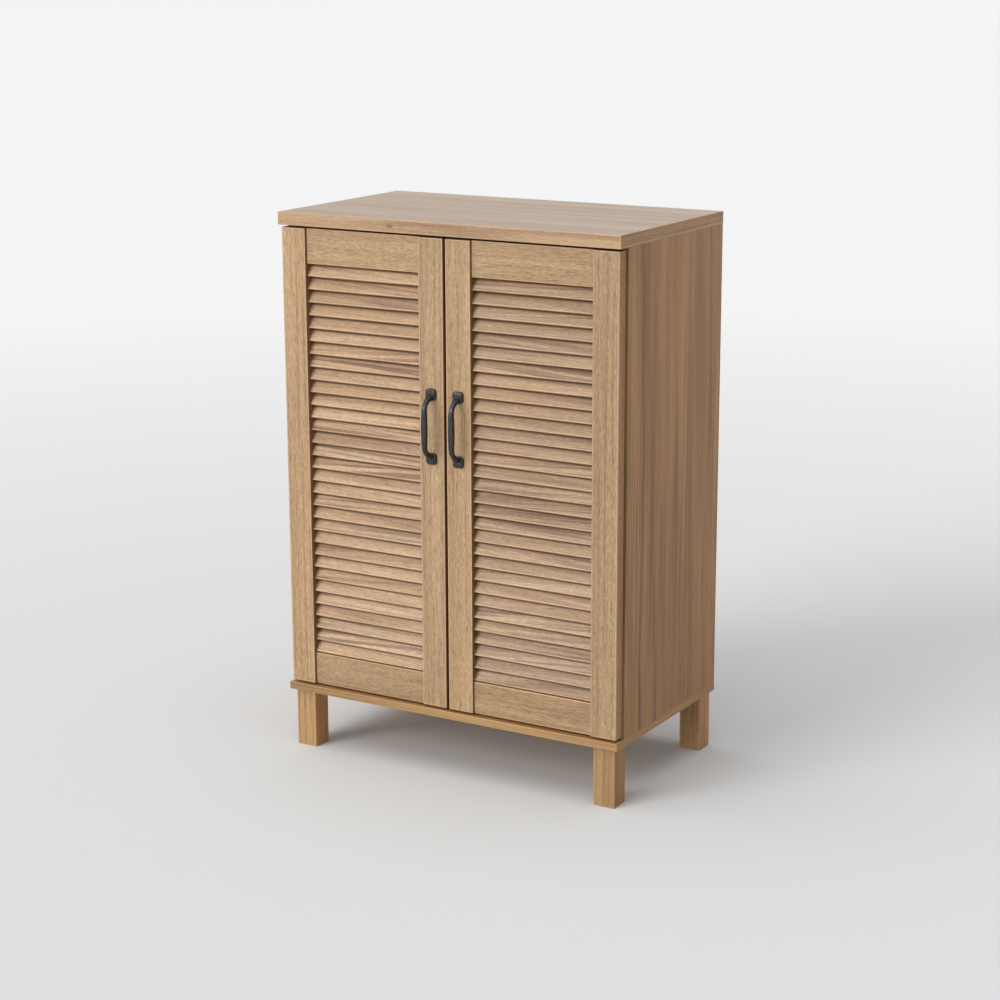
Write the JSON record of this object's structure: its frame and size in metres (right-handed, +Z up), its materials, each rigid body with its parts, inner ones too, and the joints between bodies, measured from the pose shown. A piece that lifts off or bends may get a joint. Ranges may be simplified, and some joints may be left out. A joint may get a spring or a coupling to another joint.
{
  "type": "shoe cabinet",
  "caption": "Upright wooden shoe cabinet with a pair of hinged louvred doors, black iron pulls, inner shelves and square legs.",
  "frame": {"origin": "on the floor, under the middle of the box that holds the whole cabinet with its handles, doors closed", "axes": "+X to the right seen from the front, +Y to the back (the doors face -Y), +Z up"},
  "size_m": [0.6, 0.359, 0.87],
  "materials": {
    "top_wood": "satin lacquered solid wood, fine grain along the width",
    "case_wood": "satin lacquered solid wood",
    "inner_wood": "thin lacquer on board",
    "leg_wood": "satin lacquered solid wood, upright grain",
    "frame_wood": "satin lacquered solid wood",
    "slat_wood": "satin lacquered solid wood, grain along the slat",
    "dowel_wood": "raw beech",
    "nut_brass": "turned brass",
    "cam_zinc": "die-cast zinc",
    "handle_iron": "black, hand-hammered, low sheen",
    "bumper_plastic": "soft clear-white pad",
    "screw_steel": "zinc-plated steel",
    "hinge_steel": "nickel-plated pressed steel"
  },
  "bodies": {
    "case": {"top_board": "top_wood", "base_board": "case_wood", "left_side_panel": "case_wood", "right_side_panel": "case_wood", "back_panel": "inner_wood", "fixed_shelf": "inner_wood", "lower_shelf": "inner_wood", "middle_shelf": "inner_wood", "upper_shelf": "inner_wood", "front_left_leg": "leg_wood", "front_right_leg": "leg_wood", "rear_left_leg": "leg_wood", "rear_right_leg": "leg_wood", "leg_bolts": "screw_steel", "leg_insert_nuts": "nut_brass", "shelf_pins": "screw_steel", "cam_locks": "cam_zinc", "cam_bolts": "screw_steel", "case_dowels": "dowel_wood", "upper_left_hinge_plate": "hinge_steel", "lower_left_hinge_plate": "hinge_steel", "upper_right_hinge_plate": "hinge_steel", "lower_right_hinge_plate": "hinge_steel", "upper_left_hinge_arm": "hinge_steel", "lower_left_hinge_arm": "hinge_steel", "upper_right_hinge_arm": "hinge_steel", "lower_right_hinge_arm": "hinge_steel", "hinge_plate_screws": "screw_steel", "hinge_arm_screws": "screw_steel", "hinge_arm_pins": "hinge_steel"},
    "left_door": {"left_door_hinge_stile": "frame_wood", "left_door_meeting_stile": "frame_wood", "left_door_top_rail": "frame_wood", "left_door_bottom_rail": "frame_wood", "left_door_slats": "slat_wood", "left_door_dowels": "dowel_wood", "left_handle": "handle_iron", "left_handle_screws": "screw_steel", "upper_left_hinge_cup": "hinge_steel", "lower_left_hinge_cup": "hinge_steel", "left_cup_screws": "screw_steel", "left_cup_pins": "hinge_steel", "left_door_bumper": "bumper_plastic"},
    "right_door": {"right_door_hinge_stile": "frame_wood", "right_door_meeting_stile": "frame_wood", "right_door_top_rail": "frame_wood", "right_door_bottom_rail": "frame_wood", "right_door_slats": "slat_wood", "right_door_dowels": "dowel_wood", "right_handle": "handle_iron", "right_handle_screws": "screw_steel", "upper_right_hinge_cup": "hinge_steel", "lower_right_hinge_cup": "hinge_steel", "right_cup_screws": "screw_steel", "right_cup_pins": "hinge_steel", "right_door_bumper": "bumper_plastic"},
    "left_links": {"left_hinge_links": "hinge_steel"},
    "right_links": {"right_hinge_links": "hinge_steel"}
  },
  "joints": [
    {"name": "left_door_swing", "type": "hinge", "parent": "case", "child": "left_door", "pos_m": [-0.2896, -0.1435, 0.4785], "axis": [0, 0, -1], "range_deg": [0, 105]},
    {"name": "right_door_swing", "type": "hinge", "parent": "case", "child": "right_door", "pos_m": [0.2896, -0.1435, 0.4785], "axis": [0, 0, 1], "range_deg": [0, 105]},
    {"name": "left_links_swing", "type": "hinge", "parent": "case", "child": "left_links", "pos_m": [-0.271, -0.139, 0.4785], "axis": [0, 0, -1], "range_deg": [-16.5, 0.5]},
    {"name": "right_links_swing", "type": "hinge", "parent": "case", "child": "right_links", "pos_m": [0.271, -0.139, 0.4785], "axis": [0, 0, 1], "range_deg": [-16.5, 0.5]}
  ],
  "couplings": [
    {"joint": "left_links_swing", "follows": "left_door_swing", "ratio": -0.14912},
    {"joint": "right_links_swing", "follows": "right_door_swing", "ratio": -0.14912}
  ]
}
